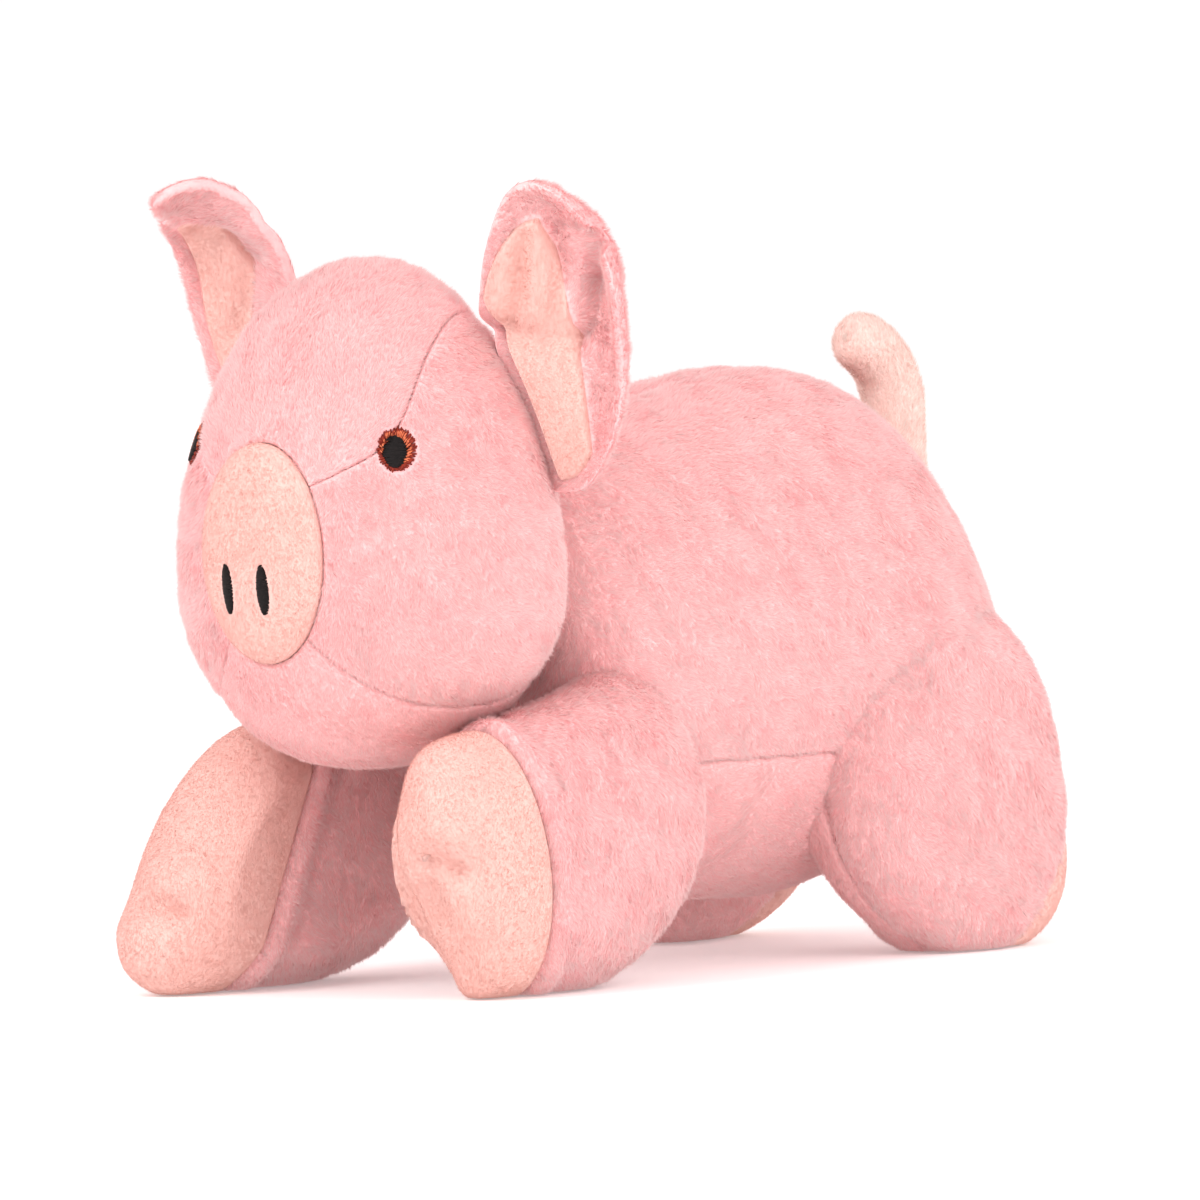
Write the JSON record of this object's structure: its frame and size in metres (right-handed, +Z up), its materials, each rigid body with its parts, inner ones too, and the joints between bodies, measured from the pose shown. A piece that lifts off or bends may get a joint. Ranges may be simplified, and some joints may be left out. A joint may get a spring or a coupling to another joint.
{
  "type": "plush pig",
  "caption": "Soft stuffed pig lying low on splayed stubby legs, with a padded snout, wide ears, cream hooves and a curled tail; its head, ears, legs and tail bend at their seams.",
  "frame": {"origin": "centre of the bounding box on the ground under the feet", "axes": "+Z up, the pig faces -Y and its left side is +X"},
  "size_m": [0.1866, 0.3062, 0.2619],
  "materials": {
    "pink_plush": "Fluffy pink plush, 3 to 5 mm pile",
    "smooth_pink_plush": "Smooth short-pile pink plush",
    "pale_plush": "Pale pink plush, short pile",
    "cream_velour": "Cream velour",
    "fibre_fill": "White polyester fibre fill",
    "rust_thread": "Rust embroidery thread, satin stitch",
    "black_thread": "Black embroidery thread, satin stitch"
  },
  "bodies": {
    "torso": {"body_side_left": "pink_plush", "body_side_right": "pink_plush", "belly_panel": "smooth_pink_plush", "body_stuffing": "fibre_fill"},
    "neck": {"neck_stuffing": "fibre_fill"},
    "head": {"forehead_panel": "pink_plush", "cheek_left": "pink_plush", "cheek_right": "pink_plush", "chin_panel": "smooth_pink_plush", "snout_pad": "cream_velour", "head_stuffing": "fibre_fill", "iris_left": "rust_thread", "iris_right": "rust_thread", "pupil_left": "black_thread", "pupil_right": "black_thread", "nostril_left": "black_thread", "nostril_right": "black_thread"},
    "ear_left": {"ear_outer_left": "pink_plush", "ear_lining_left": "cream_velour"},
    "ear_right": {"ear_outer_right": "pink_plush", "ear_lining_right": "cream_velour"},
    "foreleg_left": {"foreleg_sleeve_left": "pink_plush", "forehoof_left": "cream_velour", "foreleg_stuffing_left": "fibre_fill"},
    "foreleg_right": {"foreleg_sleeve_right": "pink_plush", "forehoof_right": "cream_velour", "foreleg_stuffing_right": "fibre_fill"},
    "hindleg_left": {"thigh_left": "pink_plush", "hindleg_inner_left": "smooth_pink_plush", "hindhoof_left": "cream_velour", "hindleg_stuffing_left": "fibre_fill"},
    "hindleg_right": {"thigh_right": "pink_plush", "hindleg_inner_right": "smooth_pink_plush", "hindhoof_right": "cream_velour", "hindleg_stuffing_right": "fibre_fill"},
    "tail": {"tail_skin": "pale_plush", "tail_stuffing": "fibre_fill"}
  },
  "joints": [
    {"name": "neck_turn", "type": "hinge", "parent": "torso", "child": "neck", "pos_m": [-0.00312, -0.05431, 0.128], "axis": [0, 0, 1], "range_deg": [-6, 6], "stiffness_Nm_per_rad": 12},
    {"name": "head_nod", "type": "hinge", "parent": "neck", "child": "head", "pos_m": [-0.00312, -0.05431, 0.128], "axis": [1, 0, 0], "range_deg": [-12, 2], "stiffness_Nm_per_rad": 12},
    {"name": "ear_left_flop", "type": "hinge", "parent": "head", "child": "ear_left", "pos_m": [0.04438, -0.07831, 0.199], "axis": [-0.3188, -0.1993, 0.9266], "range_deg": [-20, 20], "stiffness_Nm_per_rad": 0.2},
    {"name": "ear_right_flop", "type": "hinge", "parent": "head", "child": "ear_right", "pos_m": [-0.05062, -0.07831, 0.199], "axis": [0.3188, -0.1993, 0.9266], "range_deg": [-20, 20], "stiffness_Nm_per_rad": 0.2},
    {"name": "foreleg_left_swing", "type": "hinge", "parent": "torso", "child": "foreleg_left", "pos_m": [0.03388, -0.06031, 0.058], "axis": [1, 0, 0], "range_deg": [-6, 15], "stiffness_Nm_per_rad": 4},
    {"name": "foreleg_right_swing", "type": "hinge", "parent": "torso", "child": "foreleg_right", "pos_m": [-0.04012, -0.06031, 0.058], "axis": [1, 0, 0], "range_deg": [-6, 15], "stiffness_Nm_per_rad": 4},
    {"name": "hindleg_left_swing", "type": "hinge", "parent": "torso", "child": "hindleg_left", "pos_m": [0.03488, 0.09569, 0.056], "axis": [1, 0, 0], "range_deg": [-10, 10], "stiffness_Nm_per_rad": 4},
    {"name": "hindleg_right_swing", "type": "hinge", "parent": "torso", "child": "hindleg_right", "pos_m": [-0.04112, 0.09569, 0.056], "axis": [1, 0, 0], "range_deg": [-10, 10], "stiffness_Nm_per_rad": 4},
    {"name": "tail_flick", "type": "hinge", "parent": "torso", "child": "tail", "pos_m": [-0.00312, 0.13869, 0.148], "axis": [1, 0, 0], "range_deg": [-15, 15], "stiffness_Nm_per_rad": 0.3}
  ]
}
